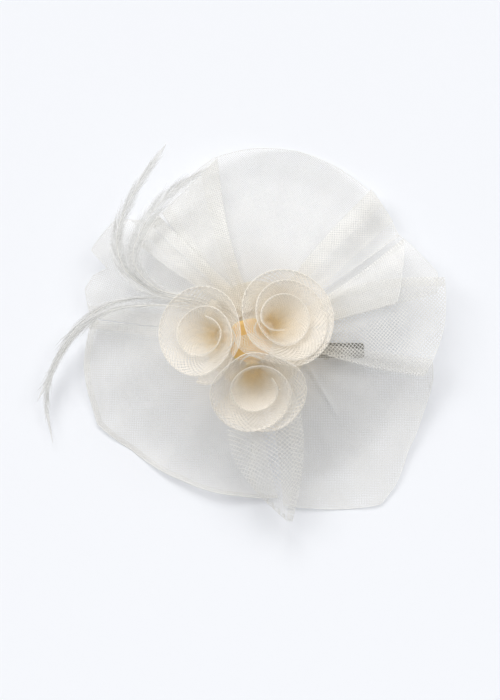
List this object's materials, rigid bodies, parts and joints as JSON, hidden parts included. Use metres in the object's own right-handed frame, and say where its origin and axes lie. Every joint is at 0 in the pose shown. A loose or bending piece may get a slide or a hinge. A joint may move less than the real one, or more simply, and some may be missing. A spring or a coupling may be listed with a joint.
{
  "type": "fascinator headpiece",
  "caption": "Bridal fascinator: pleated ivory crinoline net with rolled net roses, a leaf and feathers on a felt disc, held in the hair by a sprung metal clip.",
  "frame": {"origin": "centre of the underside of the felt backing disc", "axes": "+Z away from the wearer's head, out of the roses; +X along the hair clip towards its finger lever; +Y across the clip, away from the leaf"},
  "size_m": [0.1959, 0.1794, 0.0581],
  "materials": {
    "ivory_net": "open crinoline weave, glossy nylon thread",
    "rose_net": "open crinoline weave in several layers, warm ivory",
    "felt": "pressed wool felt",
    "thread": "spun polyester thread",
    "feather": "soft feather barbs on a pale quill",
    "glue": "amber hot-melt glue",
    "clip_steel": "dark nickel plated sheet",
    "spring_steel": "bright spring wire"
  },
  "bodies": {
    "headpiece": {"felt_backing": "felt", "felt_base": "felt", "net_top": "ivory_net", "net_left_wing": "ivory_net", "net_lower_left": "ivory_net", "net_lower_right": "ivory_net", "net_right_under": "ivory_net", "net_right_wing": "ivory_net", "net_upper_left": "ivory_net", "net_upper_right": "ivory_net", "net_right_pleat": "ivory_net", "net_left_petal": "ivory_net", "gather_thread": "thread", "glue_pad": "glue", "rose_left": "rose_net", "rose_left_binding": "thread", "rose_right": "rose_net", "rose_right_binding": "thread", "rose_front": "rose_net", "rose_front_binding": "thread", "crin_leaf": "ivory_net", "feather_curved": "feather", "feather_tall": "feather", "feather_short": "feather", "feather_left_long": "feather", "feather_left_short": "feather", "feather_binding": "thread", "clip_top_plate": "clip_steel", "clip_hinge_pin": "spring_steel", "clip_spring": "spring_steel"},
    "clip_jaw": {"clip_lower_jaw": "clip_steel"}
  },
  "joints": [
    {"name": "clip_hinge", "type": "hinge", "parent": "headpiece", "child": "clip_jaw", "pos_m": [0.033, -0.0074, -0.0036], "axis": [0, -1, 0], "range_deg": [0, 24], "stiffness_Nm_per_rad": 0.08, "springref_deg": -34.38, "deforming": ["clip_spring"]}
  ]
}
